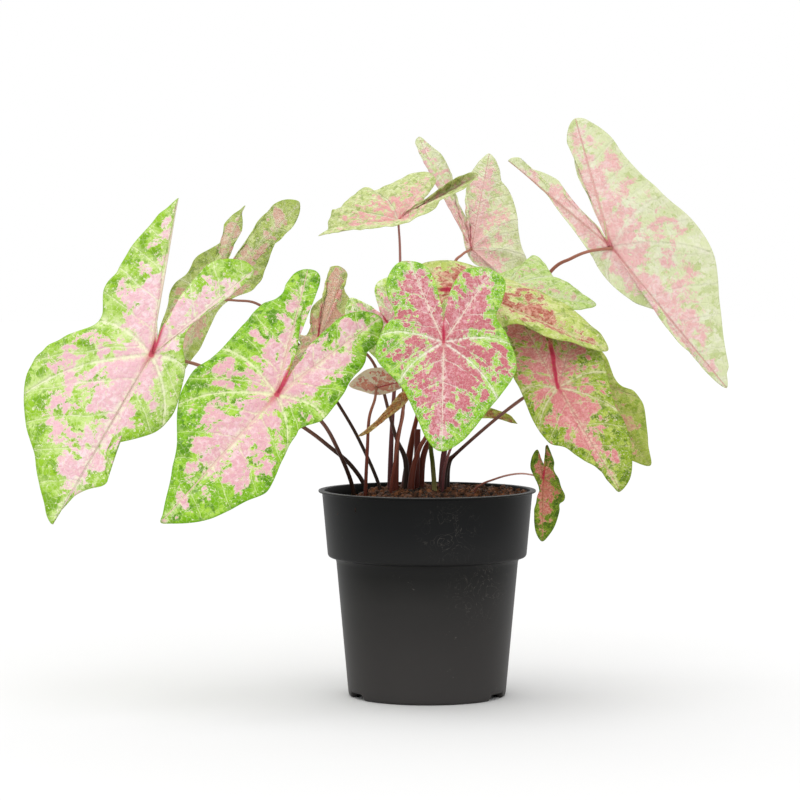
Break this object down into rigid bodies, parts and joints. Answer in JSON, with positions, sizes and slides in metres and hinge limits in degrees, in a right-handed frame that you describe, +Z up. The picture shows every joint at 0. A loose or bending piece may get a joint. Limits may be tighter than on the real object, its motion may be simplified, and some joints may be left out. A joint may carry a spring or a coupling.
{
  "type": "potted caladium plant",
  "caption": "Caladium with broad heart-shaped pink and green leaves on thin bent petioles, growing in brown peat in a round black nursery pot with a stepped collar",
  "frame": {"origin": "centre of the flat boss under the pot, on the surface that the pot stands on", "axes": "+X to the plant's right as seen from the front, +Y to the back, +Z up along the pot's axis; the front of the plant faces -Y"},
  "size_m": [0.3921, 0.1849, 0.3194],
  "materials": {
    "pot_black_plastic": "satin charcoal, moulded polypropylene",
    "brown_peat": "rough, crumbly",
    "leaf_pink_and_green": "satin, thin living leaf",
    "leaf_dry_brown": "dull, drying leaf",
    "petiole_maroon": "satin, smooth living stem"
  },
  "bodies": {
    "root": {"pot": "pot_black_plastic", "soil": "brown_peat", "leaf_far_left": "leaf_pink_and_green", "leaf_back_left": "leaf_pink_and_green", "leaf_front_left": "leaf_pink_and_green", "leaf_mid_left": "leaf_pink_and_green", "leaf_mid_front": "leaf_pink_and_green", "leaf_front_center": "leaf_pink_and_green", "leaf_top_left": "leaf_pink_and_green", "leaf_top_center": "leaf_pink_and_green", "leaf_right_upper": "leaf_pink_and_green", "leaf_right_middle": "leaf_pink_and_green", "leaf_right_front": "leaf_pink_and_green", "leaf_right_back": "leaf_pink_and_green", "leaf_far_right": "leaf_pink_and_green", "leaf_low_right": "leaf_pink_and_green", "leaf_small_under": "leaf_pink_and_green", "leaf_dry_left": "leaf_dry_brown", "leaf_narrow_right": "leaf_dry_brown", "petiole_far_left": "petiole_maroon", "petiole_back_left": "petiole_maroon", "petiole_front_left": "petiole_maroon", "petiole_mid_left": "petiole_maroon", "petiole_mid_front": "petiole_maroon", "petiole_front_center": "petiole_maroon", "petiole_top_left": "petiole_maroon", "petiole_top_center": "petiole_maroon", "petiole_right_upper": "petiole_maroon", "petiole_right_middle": "petiole_maroon", "petiole_right_front": "petiole_maroon", "petiole_right_back": "petiole_maroon", "petiole_far_right": "petiole_maroon", "petiole_low_right": "petiole_maroon", "petiole_small_under": "petiole_maroon", "petiole_dry_left": "petiole_maroon", "petiole_narrow_right": "petiole_maroon", "petiole_stub": "petiole_maroon"}
  },
  "joints": []
}
